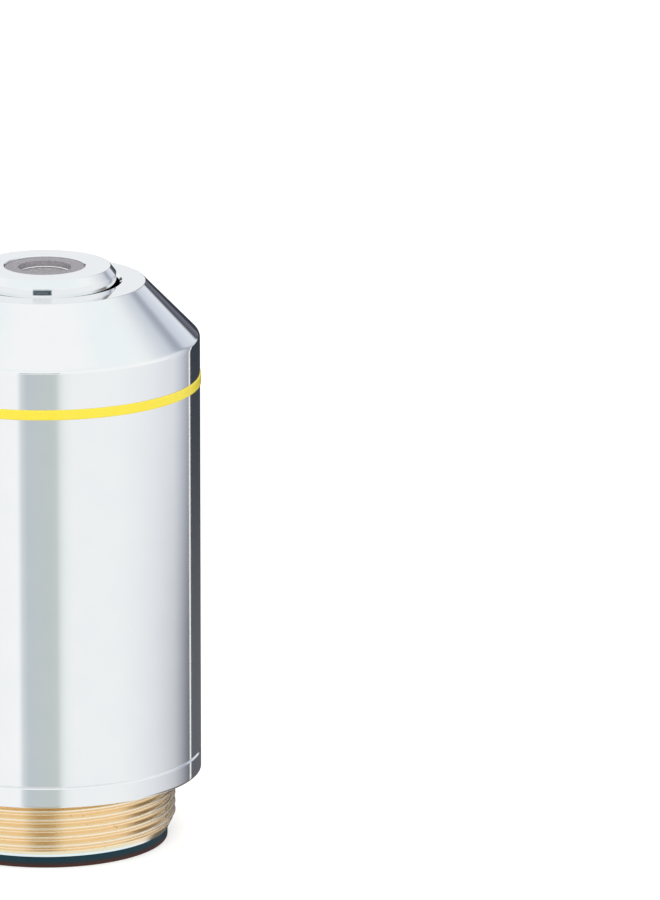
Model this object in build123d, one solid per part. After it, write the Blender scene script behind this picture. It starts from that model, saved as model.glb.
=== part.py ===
from build123d import *
import math
import os

# A low power, infinity corrected microscope objective, in millimetres.
# It stands nose up on its rear end ring: Z = 0 is the face it rests on, and Z is the optical axis.
# Every metal piece is turned on a lathe, so each one is an outline of (radius, height) corners
# revolved about Z. Radii follow from the mounting thread, outwards to the body and inwards to the
# glass. The lens train hangs from the barrel's front wall, and each piece of it starts where the
# one in front of it ends.

# Outer sleeve: a plated brass sheath with a tapered front
sleeve_length = 38.01
sleeve_wall = 1.2
cone_height = 4.45
cone_top_radius = 7.88
cone_round = 0.55
cone_top_round = 0.12
front_wall = 1.3
front_bore_bevel = 0.18
seam_bevel = 0.12

# Colour band: enamel that fills a groove below the cone
band_width = 0.78
band_drop = 3.03
band_depth = 0.35
band_proud = 0.08
band_round = 0.06

# Mounting base: a flange to seat on the nosepiece, and an 0.8 inch thread of 36 turns to the inch
thread_radius = 10.13
thread_pitch = 25.4 / 36
thread_length = 4.09
lead_height = 0.65
lead_taper = 0.35
lead_bevel = 0.23
relief_width = 0.6
relief_undercut = 0.1
seat_inset = 0.3
seat_undercut = 0.15
shoulder_width = 2.05
flange_thickness = 1.64
flange_round = 0.3
spigot_length = 5.2
spigot_bevel = 0.4
base_wall = 2.05

# Rear end ring: a black ring screwed into the base, with slots for a pin spanner
end_ring_height = 0.91
end_ring_inset = 0.05
end_ring_seat = 0.95
end_ring_wall = 1.8
end_ring_round = 0.15
end_ring_bevel = 0.5
plug_length = 2.2
end_slot_width = 1.5
end_slot_depth = 0.5
end_slot_land = 1.45

# Lens barrel: the inner tube, its threaded tail and the ring that locks its height
barrel_wall = 1.3
barrel_front_bevel = 0.4
tail_wall = 0.9
tail_gap = 0.5
tail_thread_spare = 1.0
lock_ring_thickness = 1.8
lock_ring_wall = 1.1
lock_slot_width = 2.0
lock_slot_depth = 0.5
lock_slot_count = 4

# Nose cell: the front of the barrel, which comes through the sleeve
nose_radius = 5.62
nose_gap = 0.28
nose_stand = 1.2
nose_bevel_height = 0.59
nose_bevel_width = 0.45
nose_length = 4.1
nose_shoulder = 0.72
nose_spigot_length = 2.6
nose_spigot_wall = 1.0
nose_rim_bevel = 0.06

# Front lens and the ring that holds it: a rim is the flat ground ring round a face of a glass
front_lens_radius = 3.15
front_ring_recess = 0.12
front_ring_thickness = 0.5
front_ring_wall = 1.05
front_ring_taper = 0.1
front_lens_edge = 2.1
front_dish_curve = 18.0
front_dish_rim = 0.8
front_back_curve = 4.6
front_back_rim = 0.45

# Second lens: a single convex glass. Each glass fills its cell inside the cell's wall.
second_cell_wall = 2.06
second_lens_edge = 1.4
second_face_curve = 14.0
second_face_rim = 0.7
second_back_curve = 10.0
second_back_rim = 0.4

# Third lens: a cemented pair, the crown in front
third_cell_wall = 1.46
third_crown_edge = 1.0
third_flint_middle = 1.0
third_face_curve = 12.0
third_face_rim = 0.7
third_cement_curve = 9.0
third_back_curve = 25.0
third_back_rim = 0.6

# Fourth lens: a cemented pair, the flint in front
fourth_cell_wall = 1.56
fourth_flint_middle = 1.1
fourth_crown_edge = 1.2
fourth_face_curve = 30.0
fourth_face_rim = 0.6
fourth_cement_curve = 10.0
fourth_back_curve = 16.0
fourth_back_rim = 0.5

# Rear lens: a thick meniscus
rear_cell_wall = 1.96
rear_lens_middle = 2.4
rear_face_curve = 9.0
rear_face_rim = 0.6
rear_back_curve = 6.5
rear_back_rim = 0.8

# Cells, spacers, aperture stop and retaining rings
cell_seat = 0.75
cell_tail = 0.4
cell_bevel = 0.15
seat_clearance = 0.12
spacer_wall = 1.1
second_spacer_length = 1.2
third_spacer_length = 2.2
fourth_spacer_length = 1.6
stop_thickness = 0.4
stop_margin = 0.9
lens_ring_thickness = 1.2
lens_ring_wall = 1.3
lens_ring_grip = 0.6
barrel_ring_thickness = 1.5
barrel_ring_wall = 1.2
ring_slot_width = 1.0
ring_slot_depth = 0.5
slot_overrun = 0.2

# Clearances: screwed joints without their threads, sliding cells, cemented glass, ends of screws
thread_fit = 0.03
cell_fit = 0.02
glass_fit = 0.02
end_gap = 0.2

# Heights along the axis, from the resting face to the nose
base_end = end_ring_height
thread_start = base_end + lead_height
shoulder = thread_start + thread_length
seam = shoulder + flange_thickness
spigot_top = seam + spigot_length
sleeve_top = seam + sleeve_length
cone_foot = sleeve_top - cone_height
front_wall_back = sleeve_top - front_wall
band_top = cone_foot - band_drop
band_bottom = band_top - band_width
nose_tip = sleeve_top + nose_stand
barrel_front = nose_tip - nose_length
spigot_end = barrel_front - nose_spigot_length
train_front = spigot_end - end_gap
front_ring_top = nose_tip - front_ring_recess
front_face = front_ring_top - front_ring_thickness

# Radii, from the thread outwards to the body and inwards to the glass
body_radius = thread_radius + shoulder_width
sleeve_bore = body_radius - sleeve_wall
spigot_radius = sleeve_bore - thread_fit
band_floor = body_radius - band_depth
cone_slope = (body_radius - cone_top_radius) / cone_height
cone_stretch = math.hypot(1, cone_slope)
nose_bore = nose_radius + nose_gap
nose_spigot_radius = nose_radius - nose_shoulder
lead_radius = thread_radius - lead_bevel
lead_end_radius = lead_radius - lead_taper
end_ring_radius = lead_end_radius - end_ring_inset
plug_radius = lead_end_radius - end_ring_seat
plug_bore = plug_radius - end_ring_wall
thread_root = thread_radius - 0.6403 * thread_pitch
base_bore = thread_root - base_wall
tail_radius = base_bore - thread_fit
barrel_bore = tail_radius - tail_wall
barrel_radius = barrel_bore + barrel_wall
cell_radius = barrel_bore - cell_fit
glass_limit = cell_radius - glass_fit
second_lens_radius = glass_limit - second_cell_wall
third_lens_radius = glass_limit - third_cell_wall
fourth_lens_radius = glass_limit - fourth_cell_wall
rear_lens_radius = glass_limit - rear_cell_wall
stop_radius = third_lens_radius - stop_margin


def turned(*outline):
    """A piece turned about the Z axis, from its outline of (radius, height) corners."""
    with BuildPart() as piece:
        with BuildSketch(Plane.XZ):
            Polygon(*outline, align=None)
        revolve(axis=Axis.Z)
    return piece.part


def collar(outer, inner, top, bottom):
    """A plain ring, such as a spacer or a stop."""
    return turned((inner, top), (outer, top), (outer, bottom), (inner, bottom))


def rim(piece, radius, height):
    """The round edge of a turned piece at this radius and height."""
    rings = piece.edges().filter_by(GeomType.CIRCLE)
    return [e for e in rings if math.dist((e.radius, e.arc_center.Z), (radius, height)) < 1e-4]


def slotted(ring, inner, outer, width, face, depth):
    """A ring with two spanner slots cut up into its lower face, from one radius to another."""
    for slot in PolarLocations((inner + outer) / 2, 2):
        ring -= Pos(0, 0, face) * slot * Box(outer - inner, width, 2 * depth)
    return ring


def mounting_base():
    """The brass base: thread, flange and a spigot for the sleeve, with the corner of the seat cut back."""
    plug_hole = plug_radius + thread_fit
    plug_hole_top = base_end + plug_length
    relief_start = shoulder - relief_width
    relief_radius = thread_root - relief_undercut
    relief_end = shoulder + seat_undercut
    seat_radius = thread_radius + seat_inset
    base = turned(
        (plug_hole, base_end), (lead_end_radius, base_end), (lead_radius, thread_start),
        (thread_radius, thread_start + lead_bevel), (thread_radius, relief_start),
        (relief_radius, relief_start), (relief_radius, relief_end), (seat_radius, relief_end),
        (seat_radius, shoulder), (body_radius, shoulder), (body_radius, seam - seam_bevel),
        (body_radius - seam_bevel, seam), (spigot_radius, seam),
        (spigot_radius, spigot_top - spigot_bevel), (spigot_radius - spigot_bevel, spigot_top),
        (base_bore, spigot_top), (base_bore, plug_hole_top), (plug_hole, plug_hole_top),
    )
    return fillet(rim(base, body_radius, shoulder), flange_round)


def rear_end_ring():
    """The black ring at the back: a flange below the thread, a plug inside it and two slots."""
    plug_top = base_end + plug_length - end_gap
    ring = turned(
        (plug_bore + end_ring_bevel, 0), (end_ring_radius, 0), (end_ring_radius, base_end),
        (plug_radius, base_end), (plug_radius, plug_top), (plug_bore, plug_top),
        (plug_bore, end_ring_bevel),
    )
    ring = fillet(rim(ring, end_ring_radius, 0) + rim(ring, end_ring_radius, base_end), end_ring_round)
    slot_end = end_ring_radius - end_slot_land
    return slotted(ring, plug_bore - slot_overrun, slot_end, end_slot_width, 0, end_slot_depth)


def outer_sleeve():
    """The plated sheath: cylinder with the groove for the band, cone, front wall and nose bore.

    The inside of the cone lies one wall in from the outside, measured square to it.
    """
    inner_foot = cone_foot - sleeve_wall * (cone_stretch - 1) / cone_slope
    inner_top_radius = body_radius - (front_wall_back - cone_foot) * cone_slope - sleeve_wall * cone_stretch
    sleeve = turned(
        (body_radius - seam_bevel, seam), (body_radius, seam + seam_bevel),
        (body_radius, band_bottom), (band_floor, band_bottom), (band_floor, band_top),
        (body_radius, band_top), (body_radius, cone_foot), (cone_top_radius, sleeve_top),
        (nose_bore + front_bore_bevel, sleeve_top), (nose_bore, sleeve_top - front_bore_bevel),
        (nose_bore, front_wall_back), (inner_top_radius, front_wall_back),
        (sleeve_bore, inner_foot), (sleeve_bore, seam),
    )
    sleeve = fillet(rim(sleeve, body_radius, cone_foot), cone_round)
    return fillet(rim(sleeve, cone_top_radius, sleeve_top), cone_top_round)


def colour_band():
    """The enamel in the groove, a little proud of the plating."""
    outer = body_radius + band_proud
    band = collar(outer, band_floor, band_top, band_bottom)
    return fillet(rim(band, outer, band_top) + rim(band, outer, band_bottom), band_round)


def lens_barrel():
    """The inner tube: threaded tail, body that holds the cells, and front wall for the nose cell."""
    tail_end = base_end + plug_length + tail_gap
    tail_top = spigot_top + lock_ring_thickness + tail_thread_spare
    nose_hole = nose_spigot_radius + thread_fit
    return turned(
        (barrel_bore, tail_end), (tail_radius, tail_end), (tail_radius, tail_top),
        (barrel_radius, tail_top), (barrel_radius, barrel_front - barrel_front_bevel),
        (barrel_radius - barrel_front_bevel, barrel_front), (nose_hole, barrel_front),
        (nose_hole, train_front), (barrel_bore, train_front),
    )


def parfocal_lock_ring():
    """The ring on the barrel's tail that locks it against the top of the base's spigot."""
    inner = tail_radius + thread_fit
    outer = inner + lock_ring_wall
    ring = collar(outer, inner, spigot_top + lock_ring_thickness, spigot_top)
    slot = Box(2 * lock_slot_depth, lock_slot_width, 3 * lock_ring_thickness)
    for place in PolarLocations(outer, lock_slot_count):
        ring -= Pos(0, 0, spigot_top) * place * slot
    return ring


def nose_cell():
    """The front cell: bevelled nose, pocket for the front lens, and spigot into the barrel."""
    seat = front_face - front_lens_edge
    seat_back = seat - cell_seat
    seat_radius = front_lens_radius - front_back_rim + seat_clearance
    pocket = front_lens_radius + glass_fit
    spigot_bore = nose_spigot_radius - nose_spigot_wall
    return turned(
        (pocket + nose_rim_bevel, nose_tip), (nose_radius - nose_bevel_width, nose_tip),
        (nose_radius, nose_tip - nose_bevel_height), (nose_radius, barrel_front),
        (nose_spigot_radius, barrel_front), (nose_spigot_radius, spigot_end),
        (spigot_bore, spigot_end), (spigot_bore, seat_back), (seat_radius, seat_back),
        (seat_radius, seat), (pocket, seat), (pocket, nose_tip - nose_rim_bevel),
    )


def bulge(curve, zone):
    """How far a face stands out over a zone of this radius. A hollow face has a negative curve."""
    return math.copysign(abs(curve) - math.sqrt(curve**2 - zone**2), curve)


def lens(radius, face, face_curve, face_rim, back, back_curve, back_rim):
    """A round glass between the heights of its face and its back, each taken at the edge.

    Each side is a sphere with a flat ground rim round it, and a cemented side has no rim.
    """
    def dome(height, curve, zone, out):
        full = bulge(curve, zone)
        halfway = full - bulge(curve, zone / 2)
        ThreePointArc((0, height + out * full), (zone / 2, height + out * halfway), (zone, height))
        if zone < radius:
            Line((zone, height), (radius, height))
        return height + out * full

    with BuildPart() as glass:
        with BuildSketch(Plane.XZ):
            with BuildLine():
                face_middle = dome(face, face_curve, radius - face_rim, 1)
                back_middle = dome(back, back_curve, radius - back_rim, -1)
                Line((radius, face), (radius, back))
                Line((0, back_middle), (0, face_middle))
            make_face()
        revolve(axis=Axis.Z)
    return glass.part


def cell(top, bottom, lens_radius, face_rim):
    """A lens cell: a lip at the front that the glass seats under, and a bore open at the back."""
    seat = top - cell_seat
    lip = lens_radius - face_rim + seat_clearance
    bore = lens_radius + glass_fit
    return turned(
        (lip, top), (cell_radius - cell_bevel, top), (cell_radius, top - cell_bevel),
        (cell_radius, bottom + cell_bevel), (cell_radius - cell_bevel, bottom),
        (bore, bottom), (bore, seat), (lip, seat),
    )


def front_lens():
    """The thick front lens: a shallow dish in its face, and a bulging back."""
    return lens(
        front_lens_radius, front_face, -front_dish_curve, front_dish_rim,
        front_face - front_lens_edge, front_back_curve, front_back_rim,
    )


def front_lens_ring():
    """The ring over the front lens, with a bore that narrows towards the glass."""
    bore = front_lens_radius - front_ring_wall
    return turned(
        (bore, front_ring_top), (front_lens_radius, front_ring_top),
        (front_lens_radius, front_face), (bore - front_ring_taper, front_face),
    )


def second_group(top):
    """A single convex lens in its cell, and the height of the cell's back."""
    face = top - cell_seat
    back = face - second_lens_edge
    bottom = back - bulge(second_back_curve, second_lens_radius - second_back_rim) - cell_tail
    return {
        "second_cell": cell(top, bottom, second_lens_radius, second_face_rim),
        "second_lens": lens(
            second_lens_radius, face, second_face_curve, second_face_rim,
            back, second_back_curve, second_back_rim,
        ),
    }, bottom


def third_group(top):
    """A cemented pair with its crown in front, and the aperture stop behind its cell."""
    face = top - cell_seat
    joint = face - third_crown_edge
    joint_middle = joint - bulge(third_cement_curve, third_lens_radius)
    back_middle = joint_middle - third_flint_middle
    back = back_middle - bulge(third_back_curve, third_lens_radius - third_back_rim)
    bottom = back - cell_tail
    return {
        "third_cell": cell(top, bottom, third_lens_radius, third_face_rim),
        "third_crown": lens(
            third_lens_radius, face, third_face_curve, third_face_rim, joint, third_cement_curve, 0,
        ),
        "third_flint": lens(
            third_lens_radius, joint, -third_cement_curve, 0, back, -third_back_curve, third_back_rim,
        ),
        "aperture_stop": collar(cell_radius, stop_radius, bottom, bottom - stop_thickness),
    }, bottom - stop_thickness


def fourth_group(top):
    """A cemented pair with its flint in front: the cement face bulges forwards."""
    face = top - cell_seat
    face_middle = face - bulge(fourth_face_curve, fourth_lens_radius - fourth_face_rim)
    joint_middle = face_middle - fourth_flint_middle
    joint = joint_middle - bulge(fourth_cement_curve, fourth_lens_radius)
    back = joint - fourth_crown_edge
    bottom = back - bulge(fourth_back_curve, fourth_lens_radius - fourth_back_rim) - cell_tail
    return {
        "fourth_cell": cell(top, bottom, fourth_lens_radius, fourth_face_rim),
        "fourth_flint": lens(
            fourth_lens_radius, face, -fourth_face_curve, fourth_face_rim, joint, -fourth_cement_curve, 0,
        ),
        "fourth_crown": lens(
            fourth_lens_radius, joint, fourth_cement_curve, 0, back, fourth_back_curve, fourth_back_rim,
        ),
    }, bottom


def rear_group(top):
    """A thick meniscus and its slotted ring in their cell, and the ring that holds the whole train."""
    face = top - cell_seat
    face_middle = face + bulge(rear_face_curve, rear_lens_radius - rear_face_rim)
    back_middle = face_middle - rear_lens_middle
    back = back_middle - bulge(rear_back_curve, rear_lens_radius - rear_back_rim)
    ring_end = back - lens_ring_thickness
    bottom = ring_end - cell_tail
    ring_radius = rear_lens_radius + lens_ring_grip
    ring_bore = ring_radius - lens_ring_wall
    ring_hole = collar(ring_radius + thread_fit, rear_lens_radius, back, bottom - slot_overrun)
    barrel_ring_bore = cell_radius - barrel_ring_wall
    barrel_ring_end = bottom - barrel_ring_thickness
    return {
        "rear_cell": cell(top, bottom, rear_lens_radius, rear_face_rim) - ring_hole,
        "rear_lens": lens(
            rear_lens_radius, face, rear_face_curve, rear_face_rim, back, -rear_back_curve, rear_back_rim,
        ),
        "rear_lens_ring": slotted(
            collar(ring_radius, ring_bore, back, ring_end), ring_bore - slot_overrun,
            ring_radius + slot_overrun, ring_slot_width, ring_end, ring_slot_depth,
        ),
        "barrel_retaining_ring": slotted(
            collar(cell_radius, barrel_ring_bore, bottom, barrel_ring_end), barrel_ring_bore - slot_overrun,
            cell_radius + slot_overrun, ring_slot_width, barrel_ring_end, ring_slot_depth,
        ),
    }


def spacer(top, length):
    """A spacer ring between two cells."""
    return collar(cell_radius, cell_radius - spacer_wall, top, top - length)


def lens_train():
    """Every piece inside the barrel, from its front wall backwards."""
    second, back = second_group(train_front)
    second["second_spacer"] = spacer(back, second_spacer_length)
    third, back = third_group(back - second_spacer_length)
    third["third_spacer"] = spacer(back, third_spacer_length)
    fourth, back = fourth_group(back - third_spacer_length)
    fourth["fourth_spacer"] = spacer(back, fourth_spacer_length)
    return second | third | fourth | rear_group(back - fourth_spacer_length)


def objective():
    """Every piece of the objective by its name."""
    return {
        "mounting_base": mounting_base(),
        "rear_end_ring": rear_end_ring(),
        "outer_sleeve": outer_sleeve(),
        "colour_band": colour_band(),
        "lens_barrel": lens_barrel(),
        "parfocal_lock_ring": parfocal_lock_ring(),
        "nose_cell": nose_cell(),
        "front_lens": front_lens(),
        "front_lens_ring": front_lens_ring(),
    } | lens_train()


os.makedirs("parts", exist_ok=True)
for name, piece in objective().items():
    export_step(piece, f"parts/{name}.step")
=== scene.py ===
import math

import bmesh
import bpy
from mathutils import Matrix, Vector


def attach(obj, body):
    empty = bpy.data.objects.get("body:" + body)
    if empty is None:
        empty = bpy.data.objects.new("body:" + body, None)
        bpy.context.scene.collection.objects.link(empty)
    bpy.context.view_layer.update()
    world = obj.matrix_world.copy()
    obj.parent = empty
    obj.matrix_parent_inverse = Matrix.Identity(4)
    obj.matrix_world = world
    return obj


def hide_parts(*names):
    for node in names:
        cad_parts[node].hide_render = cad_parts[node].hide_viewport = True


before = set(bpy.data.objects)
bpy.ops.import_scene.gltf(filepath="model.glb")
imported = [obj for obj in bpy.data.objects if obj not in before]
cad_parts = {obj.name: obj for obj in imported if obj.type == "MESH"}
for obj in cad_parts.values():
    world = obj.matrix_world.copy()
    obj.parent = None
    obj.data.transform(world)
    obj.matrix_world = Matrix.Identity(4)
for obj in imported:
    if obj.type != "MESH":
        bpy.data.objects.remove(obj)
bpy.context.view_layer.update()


# Mounting base: the brass piece that screws into the nosepiece, with an 0.8 inch thread of 36 turns
# to the inch. It is turned from bar, its flange and foot are plated to match the sleeve, and the
# thread is left bare. Sizes here and below are in mm, and corners are (radius, height).
MM = 0.001
THREAD_PITCH = 25.4 / 36
THREAD_CREST = 10.13
THREAD_ROOT = 9.678
THREAD_HALF_ANGLE = 27.5
THREAD_ROUNDING = 0.12
THREAD_START, THREAD_TURNS = 1.15, 6
LEAD_CONE = ((9.55, 0.91), (9.90, 1.56))
LEAD_BEVEL = ((9.90, 1.56), (10.13, 1.79))
THREAD_RUN_OUT = ((10.13, 4.92), (9.578, 5.10))
RELIEF_RADIUS = 9.578
BODY_RADIUS, FLANGE_TOP = 12.18, 7.29
# The lowest, highest and innermost reach of each plated zone.
PLATED_FLANGE = (5.64, 7.35, 10.4)
PLATED_FOOT = (0, THREAD_START, 9.5)
ROWS_PER_TURN = 18
FACETS = 256
SEAM, SLIVER = 0.0006, 0.0001
SHARP_ANGLE = 32


class Wire:
    """A node's output. Operators and maths() add Math nodes, and node() adds any node to a tree."""

    def __init__(self, socket):
        self.socket = socket

    def __getitem__(self, name):
        """Another output of the same node."""
        return Wire(self.socket.node.outputs[name])

    @classmethod
    def node(cls, tree, kind, settings=None, **sockets):
        """A new node. Its settings come first, then the value or the wire of each socket, which
        goes by its name, with _ for a space, or by its place as at0, at1 and so on."""
        made = tree.nodes.new(kind)
        for name, value in (settings or {}).items():
            if name == "stops":
                ramp = made.color_ramp
                while len(ramp.elements) < len(value):
                    ramp.elements.new(1.0)
                for stop, (place, colour) in zip(ramp.elements, value):
                    stop.position = place
                    stop.color = (*colour, 1.0)
            else:
                setattr(made, name, value)
        for name, value in sockets.items():
            name = name.replace("_", " ")
            place = int(name[2:]) if name.startswith("at") and name[2:].isdigit() else name
            if isinstance(value, Wire):
                tree.links.new(value.socket, made.inputs[place])
            else:
                made.inputs[place].default_value = value
        return cls(made.outputs[0]) if made.outputs else None

    @classmethod
    def maths(cls, operation, *values):
        """A Math node on these wires and numbers, in this order."""
        tree = next(value.socket.id_data for value in values if isinstance(value, cls))
        sockets = {f"at{n}": value for n, value in enumerate(values)}
        return cls.node(tree, "ShaderNodeMath", {"operation": operation}, **sockets)

    def __add__(self, other):
        return Wire.maths("ADD", self, other)

    def __sub__(self, other):
        return Wire.maths("SUBTRACT", self, other)

    def __rsub__(self, other):
        return Wire.maths("SUBTRACT", other, self)

    def __mul__(self, other):
        return Wire.maths("MULTIPLY", self, other)

    def __truediv__(self, other):
        return Wire.maths("DIVIDE", self, other)

    def __pow__(self, other):
        return Wire.maths("POWER", self, other)

    def __abs__(self):
        return Wire.maths("ABSOLUTE", self)

    def __gt__(self, other):
        return Wire.maths("GREATER_THAN", self, other)

    def __lt__(self, other):
        return Wire.maths("LESS_THAN", self, other)

    __radd__ = __add__
    __rmul__ = __mul__

    def least(self, *others):
        found = self
        for other in others:
            found = Wire.maths("MINIMUM", found, other)
        return found

    def most(self, other):
        return Wire.maths("MAXIMUM", self, other)

    def between(self, low, high):
        """0 at low and before it, 1 at high and beyond it, with soft ends."""
        return Wire.node(
            self.socket.id_data, "ShaderNodeMapRange", {"interpolation_type": "SMOOTHSTEP"},
            Value=self, From_Min=low, From_Max=high,
        )


def finish_tree(name):
    """A new material, its tree, and the wires of a point's place, height and radius in mm."""
    material = bpy.data.materials.new(name)
    material.use_nodes = True
    tree = material.node_tree
    tree.nodes.clear()
    tree.nodes.new("ShaderNodeOutputMaterial")

    def vector(operation, **sockets):
        return Wire.node(tree, "ShaderNodeVectorMath", {"operation": operation}, **sockets)

    place = vector("SCALE", at0=Wire.node(tree, "ShaderNodeTexCoord")["Object"], Scale=1 / MM)
    height = Wire.node(tree, "ShaderNodeSeparateXYZ", at0=place)["Z"]
    radius = vector("LENGTH", at0=vector("MULTIPLY", at0=place, at1=(1, 1, 0)))["Value"]
    return material, tree, place, height, radius


def surface(tree, shader):
    """Puts the finished shader on the material's output."""
    output = next(n for n in tree.nodes if n.type == "OUTPUT_MATERIAL")
    tree.links.new(shader.socket, output.inputs["Surface"])


def grain(tree, along, scale, detail=4.0):
    """Turning marks: a noise that changes only along the outline of a turned piece."""
    return Wire.node(
        tree, "ShaderNodeTexNoise", {"noise_dimensions": "1D"}, W=along, Scale=scale, Detail=detail,
    )["Fac"]


def cloud(tree, place, scale, detail=3.0):
    """A soft mottle in space."""
    return Wire.node(tree, "ShaderNodeTexNoise", Vector=place, Scale=scale, Detail=detail)["Fac"]


def blend(tree, share, first, second):
    """A colour between two others."""
    return Wire.node(
        tree, "ShaderNodeMix", {"data_type": "RGBA"}, at0=share, at6=first, at7=second,
    )[2]


def bump(tree, height, strength, distance):
    """A normal that follows this height, whose full reach is the distance in mm."""
    return Wire.node(
        tree, "ShaderNodeBump", Height=height, Strength=strength, Distance=distance * MM,
    )


def principled(tree, **sockets):
    return Wire.node(tree, "ShaderNodeBsdfPrincipled", **sockets)


def bright_plate(name):
    """Bright plating over polished brass: nearly a mirror, with the last trace of the lathe."""
    material, tree, place, height, radius = finish_tree(name)
    along = height - radius * 0.6
    marks = grain(tree, along, scale=14.0)
    wipe = grain(tree, along, scale=1.3, detail=2.0)
    haze = cloud(tree, place, scale=0.35)
    colour = blend(tree, haze, (0.86, 0.885, 0.90, 1), (0.915, 0.925, 0.93, 1))
    rough = 0.035 + marks * 0.03 + wipe * 0.02 + haze.between(0.45, 0.8) * 0.03
    surface(tree, principled(
        tree, Base_Color=colour, Metallic=1.0, Roughness=rough,
        Normal=bump(tree, marks, strength=0.05, distance=0.0015),
    ))
    return material


def bare_brass(name):
    """Brass as it comes off the lathe, a little darker and browner down in the thread."""
    material, tree, place, height, radius = finish_tree(name)
    marks = grain(tree, height - radius * 0.6, scale=16.0)
    mottle = cloud(tree, place, scale=0.9)
    specks = cloud(tree, place, scale=5.5, detail=2.0).between(0.70, 0.76)
    crest = radius.between(THREAD_ROOT, THREAD_CREST)
    metal = blend(tree, crest, (0.97, 0.79, 0.54, 1), (0.99, 0.88, 0.70, 1))
    metal = blend(tree, mottle * 0.35, metal, (0.97, 0.80, 0.58, 1))
    metal = blend(tree, specks * 0.7, metal, (0.30, 0.19, 0.10, 1))
    surface(tree, principled(
        tree, Base_Color=metal, Metallic=1.0,
        Roughness=0.13 + marks * 0.10 + mottle * 0.06 + specks * 0.25,
        Normal=bump(tree, marks, strength=0.12, distance=0.004),
    ))
    return material


def line_through(first, second, height):
    """Radius at a height on the line through two corners."""
    slope = (second[0] - first[0]) / (second[1] - first[1])
    return first[0] + (height - first[1]) * slope


def grown(name, tree, sizes):
    """Runs a geometry tree with these sizes, and gives the mesh that it makes."""
    holder = bpy.data.objects.new(name, bpy.data.meshes.new(name))
    bpy.context.scene.collection.objects.link(holder)
    modifier = holder.modifiers.new(name, "NODES")
    modifier.node_group = tree
    for item in tree.interface.items_tree:
        if item.name in sizes:
            modifier[item.identifier] = sizes[item.name]
    made = bpy.data.meshes.new_from_object(
        holder.evaluated_get(bpy.context.evaluated_depsgraph_get())
    )
    bpy.data.objects.remove(holder)
    return made


def thread_tree(material):
    """The thread as a strip wound along the helix. One turn more than the thread has is wound, and
    both ends are squeezed flat, so that the strip ends in two level rings."""
    tree = bpy.data.node_groups.new("cut_thread", "GeometryNodeTree")
    tree.interface.new_socket("Geometry", in_out="OUTPUT", socket_type="NodeSocketGeometry")
    for name in ("Crest", "Root", "Pitch", "Start"):
        tree.interface.new_socket(name, in_out="INPUT", socket_type="NodeSocketFloat")
    for name in ("Turns", "Rows", "Facets"):
        tree.interface.new_socket(name, in_out="INPUT", socket_type="NodeSocketInt")
    sizes = Wire.node(tree, "NodeGroupInput")
    crest, root, pitch, start = (sizes[name] for name in ("Crest", "Root", "Pitch", "Start"))
    turns = sizes["Turns"]
    strip = Wire.node(
        tree, "GeometryNodeMeshGrid",
        Vertices_X=sizes["Facets"] + 1, Vertices_Y=(turns + 1) * sizes["Rows"] + 1,
    )
    across = Wire.node(tree, "ShaderNodeSeparateXYZ", at0=strip["UV Map"])
    angle = across["X"] * (2 * math.pi)
    lead = start + pitch * ((turns + 1) * across["Y"] - 1)
    height = (lead + across["X"] * pitch).most(start).least(start + turns * pitch)

    # The sharp form's peak stands a sixth of the form's height above the crest.
    flank = 1 / math.tan(math.radians(THREAD_HALF_ANGLE))
    peak = crest + pitch * (flank / 12)
    away = Wire.maths("PINGPONG", lead / pitch, 0.5)
    tooth = peak - away * pitch * flank
    tooth = Wire.maths("SMOOTH_MIN", tooth, crest, THREAD_ROUNDING)
    tooth = Wire.maths("SMOOTH_MAX", tooth, root, THREAD_ROUNDING)
    lead_in = line_through(*LEAD_CONE, height).most(line_through(*LEAD_BEVEL, height))
    run_out = line_through(*THREAD_RUN_OUT, height)
    radius = tooth.least(crest, lead_in, run_out).most(RELIEF_RADIUS)

    spot = Wire.node(
        tree, "ShaderNodeCombineXYZ", X=radius * Wire.maths("COSINE", angle) * MM,
        Y=radius * Wire.maths("SINE", angle) * MM, Z=height * MM,
    )
    cut = Wire.node(tree, "GeometryNodeSetPosition", Geometry=strip, Position=spot)
    cut = Wire.node(tree, "GeometryNodeMergeByDistance", Geometry=cut, Distance=0.0005 * MM)
    cut = Wire.node(tree, "GeometryNodeRealizeInstances", Geometry=cut)
    cut = Wire.node(tree, "GeometryNodeSetMaterial", Geometry=cut, Material=material)
    Wire.node(tree, "NodeGroupOutput", Geometry=cut)
    return tree


def eased(outline, closed=True, steps=5):
    """An outline of (radius, height, ease) corners, each rounded off by its ease. A point held
    close to each rounding keeps the wall beside it flat under smooth shading."""
    held, room = 1.7, 4
    points = []
    last = len(outline) - 1
    for n, (radius, height, ease) in enumerate(outline):
        corner = Vector((radius, height))
        if ease <= 0 or (not closed and n in (0, last)):
            points.append(corner)
            continue
        before = Vector(outline[n - 1][:2])
        after = Vector(outline[(n + 1) % len(outline)][:2])
        reach = ease * math.tan((corner - before).angle(after - corner) / 2)
        back = (before - corner).normalized() * reach
        ahead = (after - corner).normalized() * reach
        if (before - corner).length > room * reach:
            points.append(corner + back * held)
        for step in range(steps + 1):
            t = step / steps
            points.append(
                (corner + back) * (1 - t) ** 2 + corner * 2 * t * (1 - t) + (corner + ahead) * t**2
            )
        if (after - corner).length > room * reach:
            points.append(corner + ahead * held)
    return points


def spun(shape, points, closed=True, facets=FACETS):
    """Spins a line of (radius, height) points about the axis into a bmesh."""
    angles = [2 * math.pi * n / facets for n in range(facets)]
    rings = [
        [
            shape.verts.new((p.x * MM * math.cos(a), p.x * MM * math.sin(a), p.y * MM))
            for a in angles
        ]
        for p in points
    ]
    for low, high in zip(rings, rings[1:] + rings[:1] if closed else rings[1:]):
        for n in range(facets):
            m = (n + 1) % facets
            shape.faces.new((low[n], low[m], high[m], high[n]))


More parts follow.
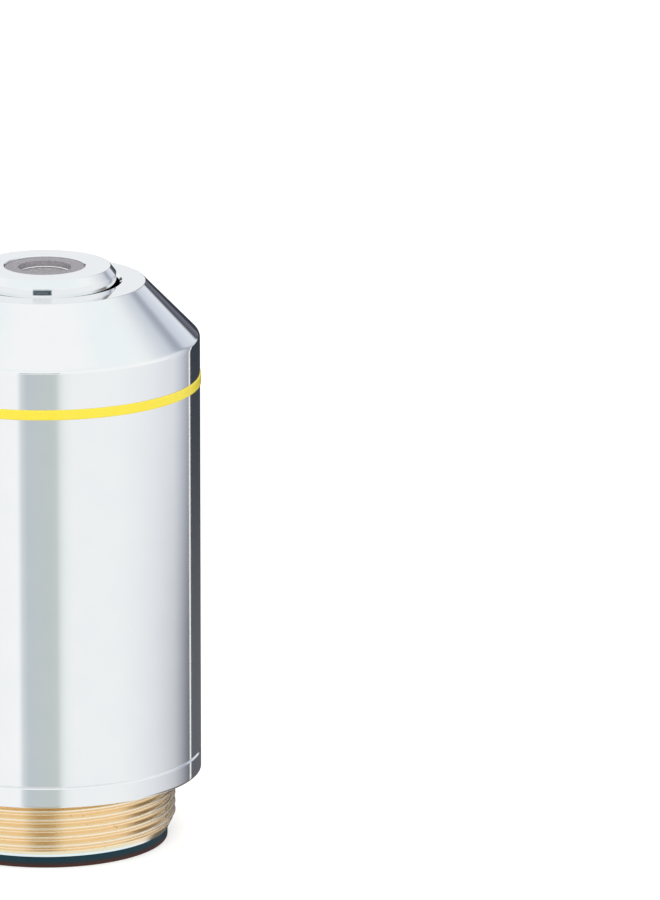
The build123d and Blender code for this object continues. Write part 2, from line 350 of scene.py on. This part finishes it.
def finished(name, shape, materials):
    """Turns a bmesh into an object with closed seams, faces outwards and smooth, even shading."""
    bmesh.ops.remove_doubles(shape, verts=shape.verts, dist=SEAM * MM)
    bmesh.ops.dissolve_degenerate(shape, edges=shape.edges, dist=SLIVER * MM)
    bmesh.ops.recalc_face_normals(shape, faces=shape.faces)
    mesh = bpy.data.meshes.new(name)
    shape.to_mesh(mesh)
    shape.free()
    for material in materials:
        mesh.materials.append(material)
    mesh.polygons.foreach_set("use_smooth", [True] * len(mesh.polygons))
    mesh.set_sharp_from_angle(angle=math.radians(SHARP_ANGLE))
    piece = bpy.data.objects.new(name, mesh)
    bpy.context.scene.collection.objects.link(piece)
    weighted = piece.modifiers.new("even_shading", "WEIGHTED_NORMAL")
    weighted.keep_sharp = True
    return piece


def stands_for(piece, node):
    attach(piece, "root")
    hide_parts(node)


brass = bare_brass("bare_brass")
plating = bright_plate("bright_plate")

base_shape = bmesh.new()
base_shape.from_mesh(grown("cut_thread", thread_tree(brass), {
    "Crest": THREAD_CREST, "Root": THREAD_ROOT, "Pitch": THREAD_PITCH, "Start": THREAD_START,
    "Turns": THREAD_TURNS, "Rows": ROWS_PER_TURN, "Facets": FACETS,
}))
base_outline = [
    (RELIEF_RADIUS, THREAD_START + THREAD_TURNS * THREAD_PITCH, 0),
    (RELIEF_RADIUS, 5.80, 0.1), (10.43, 5.80, 0.06), (10.43, 5.65, 0.05),
    (BODY_RADIUS, 5.65, 0.12), (BODY_RADIUS, 7.17, 0.03), (12.06, FLANGE_TOP, 0.02),
    (10.95, FLANGE_TOP, 0.04), (10.95, 12.09, 0.04), (10.55, 12.49, 0.04), (7.628, 12.49, 0.08),
    (7.628, 3.11, 0.05), (8.63, 3.11, 0.05), (8.63, 0.91, 0.06), (9.55, 0.91, 0.05),
    (line_through(*LEAD_CONE, THREAD_START), THREAD_START, 0),
]
spun(base_shape, eased(base_outline, closed=False), closed=False)
mounting_base = finished("mounting_base_threaded", base_shape, [brass, plating])
for face in mounting_base.data.polygons:
    wide = math.hypot(face.center.x, face.center.y) / MM
    high = face.center.z / MM
    face.material_index = int(any(
        low < high < top and wide > inner for low, top, inner in (PLATED_FLANGE, PLATED_FOOT)
    ))
stands_for(mounting_base, "mounting_base")


# Rear end ring: an aluminium ring, anodised black, that screws into the back of the base and keeps
# the thread off the bench. Two slots take a pin spanner, and its lower edge is rubbed brown. The
# stop and the ring behind the last lens have the same finish, and lie too high to be rubbed.
def black_anodise(name, rubbed_to, rim_from):
    material, tree, place, height, radius = finish_tree(name)
    marks = grain(tree, height * 0.8 + radius, scale=10.0)
    mottle = cloud(tree, place, scale=2.2)
    colour = blend(tree, mottle, (0.006, 0.034, 0.050, 1), (0.010, 0.048, 0.068, 1))
    worn = (height + mottle * 0.1).between(rubbed_to + 0.45, rubbed_to + 0.15)
    rubbed = (height + mottle * 0.12).between(rubbed_to + 0.22, rubbed_to - 0.02)
    rim = (radius + mottle * 0.3).between(rim_from, rim_from + 0.25)
    colour = blend(tree, worn * rim, colour, (0.030, 0.032, 0.036, 1))
    colour = blend(tree, rubbed * rim * 0.9, colour, (0.085, 0.026, 0.017, 1))
    surface(tree, principled(
        tree, Base_Color=colour, Roughness=0.22 + marks * 0.14 + mottle * 0.08,
        Specular_IOR_Level=0.16, Normal=bump(tree, marks, strength=0.2, distance=0.004),
    ))
    return material


def finish_nodes(material, *nodes):
    """Gives CAD pieces their finish."""
    for node in nodes:
        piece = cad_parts[node]
        if piece.material_slots:
            piece.material_slots[0].material = material
        else:
            piece.data.materials.append(material)


anodise = black_anodise("black_anodise", rubbed_to=0.22, rim_from=9.25)
finish_nodes(anodise, "rear_end_ring", "aperture_stop", "rear_lens_ring")


# Lens barrel, its retaining ring, and the cells and spacers inside: brass, turned and chemically
# blackened so that no light is thrown back. The lock ring is left bare, as it is hidden.
def blackened_brass(name):
    material, tree, place, height, radius = finish_tree(name)
    marks = grain(tree, height * 0.8 + radius, scale=11.0)
    mottle = cloud(tree, place, scale=1.1)
    patina = mottle.between(0.3, 0.75)
    colour = blend(tree, patina, (0.010, 0.009, 0.009, 1), (0.026, 0.022, 0.019, 1))
    surface(tree, principled(
        tree, Base_Color=colour, Metallic=0.2, Roughness=0.42 + marks * 0.16 + mottle * 0.08,
        Normal=bump(tree, marks, strength=0.35, distance=0.006),
    ))
    return material


finish_nodes(
    blackened_brass("blackened_brass"),
    "lens_barrel", "barrel_retaining_ring", "second_cell", "second_spacer", "third_cell",
    "third_spacer", "fourth_cell", "fourth_spacer", "rear_cell",
)
finish_nodes(brass, "parfocal_lock_ring")


# The glasses: ground, polished and given a thin coating. Each has a fine ground rim and edge. The
# crowns are clear, and the dense flints very slightly yellow. The front lens has a shallow dish in
# its face, and some dust and grease on it.
CROWN_INDEX, CROWN_TINT = 1.517, (0.985, 0.995, 0.99, 1)
FLINT_INDEX, FLINT_TINT = 1.673, (0.99, 0.985, 0.95, 1)
COATING_THICKNESS, COATING_INDEX = 105.0, 1.38
FRONT_LENS_FOOT, FRONT_LENS_TOP = 43.78, 45.88
FRONT_DISH = 2.35
LENS_FACETS = 128


def coated_glass(name, index, tint, rims, film=0.0):
    """Polished glass, ground beyond the rim radius of each zone of (lowest height, rim radius). The
    film is the share of a dull layer over the polished part."""
    material, tree, place, height, radius = finish_tree(name)
    frost = cloud(tree, place, scale=9.0, detail=4.0)
    dust = cloud(tree, place, scale=3.0, detail=4.0).between(0.52, 0.78)
    polished = principled(
        tree, Base_Color=tint, Roughness=0.004 + dust * 0.02, IOR=index, Transmission_Weight=1.0,
        Thin_Film_Thickness=COATING_THICKNESS, Thin_Film_IOR=COATING_INDEX,
    )
    ground = principled(
        tree, Base_Color=blend(tree, frost, (0.30, 0.285, 0.30, 1), (0.56, 0.54, 0.56, 1)),
        Roughness=0.55 + frost * 0.25, Normal=bump(tree, frost, strength=0.6, distance=0.01),
    )
    dulled = film + dust * film
    for low, rim in rims:
        dulled = dulled.most((height > low) * (radius > rim))
    surface(tree, Wire.node(tree, "ShaderNodeMixShader", at0=dulled, at1=polished, at2=ground))
    return material


front_glass = coated_glass(
    "front_glass", CROWN_INDEX, CROWN_TINT, [(45.0, FRONT_DISH), (0.0, 3.10)], film=0.7,
)
crown_glass = coated_glass("crown_glass", CROWN_INDEX, CROWN_TINT, [(0.0, 6.0)])
flint_glass = coated_glass("flint_glass", FLINT_INDEX, FLINT_TINT, [(0.0, 6.0)])
finish_nodes(crown_glass, "second_lens", "third_crown", "fourth_crown")
finish_nodes(flint_glass, "third_flint", "fourth_flint", "rear_lens")


def face_arc(curve, zone, height, points=14):
    """A polished face from its rim, at this height, to the axis: an arc of this radius, which dips
    towards the axis where the radius is negative."""
    full = abs(curve) - math.sqrt(curve**2 - zone**2)
    line = []
    for n in range(points + 1):
        r = zone * (1 - n / points)
        sag = abs(curve) - math.sqrt(curve**2 - r**2)
        line.append(Vector((r, height + math.copysign(full - sag, curve))))
    return line


front_edge = [
    (2.72, FRONT_LENS_FOOT), (3.10, FRONT_LENS_FOOT), (3.15, 43.83),
    (3.15, 45.83), (3.10, FRONT_LENS_TOP), (2.37, FRONT_LENS_TOP),
]
front_line = face_arc(-4.6, 2.70, FRONT_LENS_FOOT)[::-1]
front_line += [Vector(corner) for corner in front_edge]
front_line += face_arc(-18.0, FRONT_DISH, FRONT_LENS_TOP)
front_shape = bmesh.new()
spun(front_shape, front_line, closed=False, facets=LENS_FACETS)
front_lens = finished("front_lens_ground", front_shape, [front_glass])
stands_for(front_lens, "front_lens")


# Front lens ring: a thin grey ring, turned from aluminium, that lies over the front lens. Its bore
# narrows to a polished edge against the glass, and its face has the fine mottle of a satin finish.
def satin_grey(name, polished_below):
    material, tree, place, height, radius = finish_tree(name)
    mottle = cloud(tree, place, scale=7.0, detail=4.0)
    marks = grain(tree, radius - height * 0.5, scale=12.0, detail=3.0)
    bright = height < polished_below
    satin = mottle.between(0.3, 0.7)
    colour = blend(tree, satin, (0.34, 0.32, 0.345, 1), (0.50, 0.475, 0.50, 1))
    colour = blend(tree, bright, colour, (0.90, 0.89, 0.90, 1))
    surface(tree, principled(
        tree, Base_Color=colour, Metallic=0.75,
        Roughness=(0.42 + mottle * 0.2) * (1 - bright) + bright * 0.12,
        Normal=bump(tree, mottle + marks * 0.4, strength=0.35, distance=0.006),
    ))
    return material


def turned(name, outline, material, steps=5, facets=FACETS):
    """A piece that is turned to one closed outline."""
    shape = bmesh.new()
    spun(shape, eased(outline, steps=steps), facets=facets)
    return finished(name, shape, [material])


ring_outline = [
    (2.10, 46.38, 0.012), (3.15, 46.38, 0.03), (3.15, FRONT_LENS_TOP, 0.02),
    (1.99, FRONT_LENS_TOP, 0), (2.04, 45.93, 0),
]
grey = satin_grey("satin_grey", polished_below=45.935)
front_lens_ring = turned("front_lens_ring_satin", ring_outline, grey, facets=LENS_FACETS)
stands_for(front_lens_ring, "front_lens_ring")


# Nose cell: the plated front of the barrel, which holds the front lens and stands through the
# sleeve. Its rim is turned to a soft bevel, polished and plated.
nose_outline = [
    (3.23, 46.50, 0.03), (5.17, 46.50, 0.05), (5.62, 45.91, 0.04), (5.62, 42.40, 0.05),
    (4.90, 42.40, 0.05), (4.90, 39.80, 0.08), (3.90, 39.80, 0.08), (3.90, 43.03, 0.05),
    (2.82, 43.03, 0.03), (2.82, FRONT_LENS_FOOT, 0.03), (3.17, FRONT_LENS_FOOT, 0),
    (3.17, 46.44, 0.02),
]
nose_cell = turned("nose_cell_bevelled", nose_outline, plating)
stands_for(nose_cell, "nose_cell")


# Outer sleeve: the brass sheath that slides over the barrel and screws to the base. It is turned,
# polished and bright plated, with a tapered front, a flat front wall and a groove for the band.
GROOVE_RADIUS = 11.83
BAND_FOOT, BAND_TOP = 37.04, 37.82

sleeve_outline = [
    (12.06, FLANGE_TOP, 0.02), (BODY_RADIUS, 7.41, 0.03), (BODY_RADIUS, BAND_FOOT, 0.03),
    (GROOVE_RADIUS, BAND_FOOT, 0.03), (GROOVE_RADIUS, BAND_TOP, 0.03),
    (BODY_RADIUS, BAND_TOP, 0.03), (BODY_RADIUS, 40.85, 0.55), (7.917, 45.262, 0.10),
    (6.08, 45.30, 0.02), (5.90, 45.12, 0.02), (5.90, 44.00, 0.05), (7.467, 44.00, 0.1),
    (10.98, 40.365, 0.5), (10.98, FLANGE_TOP, 0.04),
]
outer_sleeve = turned("outer_sleeve_plated", sleeve_outline, plating, steps=6)
stands_for(outer_sleeve, "outer_sleeve")


# Colour band: enamel flooded into the groove in the lathe, baked and left a hair proud of the
# plating, with rounded shoulders where it has drawn back.
BAND_RADIUS = 12.26


def band_enamel(name):
    material, tree, place = finish_tree(name)[:3]
    flow = cloud(tree, place, scale=0.6)
    peel = cloud(tree, place, scale=4.5, detail=2.0)
    colour = blend(tree, flow, (0.93, 0.75, 0.030, 1), (0.985, 0.83, 0.055, 1))
    surface(tree, principled(
        tree, Base_Color=colour, Roughness=0.26 + peel * 0.1, Coat_Weight=0.35, Coat_Roughness=0.08,
        Normal=bump(tree, peel, strength=0.12, distance=0.01),
    ))
    return material


band_outline = [
    (BAND_RADIUS, BAND_TOP, 0.06), (GROOVE_RADIUS, BAND_TOP, 0.02),
    (GROOVE_RADIUS, BAND_FOOT, 0.02), (BAND_RADIUS, BAND_FOOT, 0.06),
]
colour_band = turned("colour_band_enamelled", band_outline, band_enamel("band_enamel"))
stands_for(colour_band, "colour_band")


# Studio: a pale floor, a light surround with the darker parts that polished plating mirrors, and
# soft light from above. Reflections don't see the floor, and show the surround in its place.
FLOOR_HALF = 0.8
STRIP = (-17.6, 12.2)
BRIGHT_LINE = (136.4, 139.0)
CAMERA_SENSOR = 36.0


def studio_floor():
    mesh = bpy.data.meshes.new("floor")
    corners = [(x * FLOOR_HALF, y * FLOOR_HALF, 0) for x, y in ((-1, -1), (1, -1), (1, 1), (-1, 1))]
    mesh.from_pydata(corners, [], [(0, 1, 2, 3)])
    floor = bpy.data.objects.new("floor", mesh)
    bpy.context.scene.collection.objects.link(floor)
    material = bpy.data.materials.new("floor_paper")
    material.use_nodes = True
    tree = material.node_tree
    tree.nodes.clear()
    tree.nodes.new("ShaderNodeOutputMaterial")
    path = Wire.node(tree, "ShaderNodeLightPath")
    paper = Wire.node(tree, "ShaderNodeBsdfDiffuse", Color=(0.75, 0.75, 0.75, 1))
    glow = Wire.node(tree, "ShaderNodeEmission", Color=(1, 1, 1, 1), Strength=0.4)
    lit = Wire.node(tree, "ShaderNodeAddShader", at0=paper, at1=glow)
    seen = Wire.node(tree, "ShaderNodeMixShader", at0=path["Is Camera Ray"], at1=paper, at2=lit)
    clear = Wire.node(tree, "ShaderNodeBsdfTransparent")
    mirrored = path["Is Glossy Ray"].most(path["Is Transmission Ray"])
    surface(tree, Wire.node(tree, "ShaderNodeMixShader", at0=mirrored, at1=seen, at2=clear))
    mesh.materials.append(material)


def studio_surround():
    """What the plating mirrors, by direction. Degrees run from 0 in front of the object to 90 on
    its right, and rise from -1 straight below to 1 straight above."""
    world = bpy.data.worlds.new("surround")
    bpy.context.scene.world = world
    world.use_nodes = True
    tree = world.node_tree
    tree.nodes.clear()
    output = tree.nodes.new("ShaderNodeOutputWorld")
    way = Wire.node(tree, "ShaderNodeTexCoord")["Generated"]
    way = Wire.node(tree, "ShaderNodeSeparateXYZ", at0=way)
    rise = way["Z"]
    turn = Wire.maths("ARCTAN2", way["X"], way["Y"] * -1) / (2 * math.pi) + 0.5

    def at(degrees):
        return 0.5 + degrees / 360

    def sector(first, last):
        return (turn > at(first)) * (turn < at(last))

    def ring(stops):
        placed = [(at(degrees), colour) for degrees, colour in stops]
        return Wire.node(tree, "ShaderNodeValToRGB", {"stops": placed}, at0=turn)

    # Three rings of colour: below the level of the object, level with it, and above. The grey strip
    # lies in front, and the dark backdrop behind on the right.
    white, soft, dark = (1.0, 1.0, 1.0), (0.955, 0.96, 0.965), (0.042, 0.05, 0.063)
    low = ring([
        (-180, dark), (-146, dark), (-142, (0.36, 0.38, 0.42)), (-125, (0.6, 0.62, 0.66)),
        (-86, (0.86, 0.87, 0.89)), (-50, soft), (-20, white), (-18.8, (0.93, 0.95, 0.96)),
        (-17.4, (0.72, 0.75, 0.77)), (-12.5, (0.56, 0.61, 0.64)), (0, (0.575, 0.62, 0.62)),
        (5, (0.58, 0.63, 0.61)), (9, (0.60, 0.65, 0.63)), (12, (0.79, 0.82, 0.81)),
        (15, (0.88, 0.91, 0.905)), (21, soft), (58, soft), (86, (0.89, 0.90, 0.92)),
        (113, (0.80, 0.81, 0.85)), (123, (0.63, 0.65, 0.71)), (137, (0.36, 0.37, 0.42)),
        (139.4, dark), (180, dark),
    ])
    level = ring([
        (-180, dark), (-158, dark), (-154, (0.6, 0.62, 0.68)), (-120, white), (100, white),
        (118, (0.72, 0.74, 0.79)), (135, (0.42, 0.45, 0.52)), (143, (0.66, 0.69, 0.77)),
        (154, (0.74, 0.78, 0.86)), (157, (0.07, 0.08, 0.10)), (164, (0.17, 0.17, 0.21)),
        (180, (0.17, 0.17, 0.21)),
    ])
    high = ring([
        (-180, (0.90, 0.91, 0.93)), (-140, white), (90, white), (104, (0.93, 0.94, 0.95)),
        (118, (0.80, 0.82, 0.86)), (128, (0.64, 0.67, 0.73)), (134, (0.40, 0.43, 0.50)),
        (137, (0.40, 0.43, 0.50)), (141, (0.64, 0.67, 0.75)), (154, (0.80, 0.83, 0.90)),
        (159, (0.28, 0.26, 0.24)), (172, (0.28, 0.26, 0.24)), (175, (0.90, 0.91, 0.94)),
        (180, (0.90, 0.91, 0.93)),
    ])

    # The low ring darkens downwards and away from the front, up to the edge of the backdrop, where
    # a bright line stands.
    shade = (abs(turn - 0.5) / 0.39).least(1.0) ** 5.0 * rise.between(-0.238, -0.273)
    low = blend(tree, shade, low, (0.13, 0.13, 0.145, 1))
    low = blend(tree, sector(*BRIGHT_LINE), low, (1, 1, 1, 1))

    strip = sector(*STRIP)
    small_item = strip * (rise > 0.17) * (rise < 0.262)
    beside_nose = sector(148, 176) * rise.between(0.30, 0.38) * (rise < 0.47)
    bench_right = turn.between(at(78), at(105))
    bench_right = bench_right * rise.between(-0.285, -0.32) * rise.between(-0.66, -0.56)
    strip_in_thread = strip * rise.between(-0.36, -0.44) * rise.between(-0.93, -0.88)
    around = low
    for share, colour in (
        (rise.between(-0.02, 0.02), level),
        (rise.between(0.15, 0.19), high),
        (rise.between(0.62, 0.80), (0.94, 0.98, 0.985, 1)),
        (rise.between(0.88, 0.94), (1, 1, 1, 1)),
        (rise.between(-0.44, -0.54), (0.95, 0.94, 0.92, 1)),
        (rise.between(-0.66, -0.80), (0.86, 0.97, 1.0, 1)),
        (small_item, (0.05, 0.075, 0.095, 1)),
        (beside_nose, (0.20, 0.18, 0.165, 1)),
        (bench_right, (0.16, 0.14, 0.12, 1)),
        (strip_in_thread, (0.42, 0.36, 0.24, 1)),
    ):
        around = blend(tree, share, around, colour)

    # Mirrors and glass show the surround. Everything else gets plain light, and the camera white.
    path = Wire.node(tree, "ShaderNodeLightPath")
    reflected = path["Is Glossy Ray"].most(path["Is Transmission Ray"])
    ambient = blend(tree, reflected, (0.78, 0.78, 0.78, 1), around)
    colour = blend(tree, path["Is Camera Ray"], ambient, (1, 1, 1, 1))
    light = Wire.node(tree, "ShaderNodeBackground", Color=colour, Strength=1.0)
    tree.links.new(light.socket, output.inputs["Surface"])


def studio_lamp(name, place, aim, size, power):
    lamp = bpy.data.lights.new(name, "AREA")
    lamp.shape = "DISK"
    lamp.size = size
    lamp.energy = power
    holder = bpy.data.objects.new(name, lamp)
    bpy.context.scene.collection.objects.link(holder)
    holder.location = place
    holder.rotation_euler = (Vector(aim) - Vector(place)).to_track_quat("-Z", "Y").to_euler()
    holder.visible_glossy = False
    holder.visible_camera = False


def studio_camera(aim, elevation, distance, focal):
    camera = bpy.data.cameras.new("camera")
    camera.lens = focal
    camera.sensor_width = CAMERA_SENSOR
    camera.clip_start = 0.01
    holder = bpy.data.objects.new("camera", camera)
    bpy.context.scene.collection.objects.link(holder)
    back = Vector((0, -math.cos(elevation), math.sin(elevation)))
    holder.location = Vector(aim) + back * distance
    holder.rotation_euler = (-back).to_track_quat("-Z", "Y").to_euler()
    bpy.context.scene.camera = holder


studio_floor()
studio_surround()
studio_lamp("key_lamp", place=(0.25, -0.35, 0.55), aim=(0, 0, 0.02), size=0.35, power=1.6)
studio_lamp("fill_lamp", place=(-0.45, -0.20, 0.35), aim=(0, 0, 0.02), size=0.40, power=0.7)
studio_camera(
    aim=(0.022394, 0, 0.031519), elevation=math.radians(14.46), distance=0.958, focal=486.4,
)
bpy.context.scene.view_settings.view_transform = "Standard"
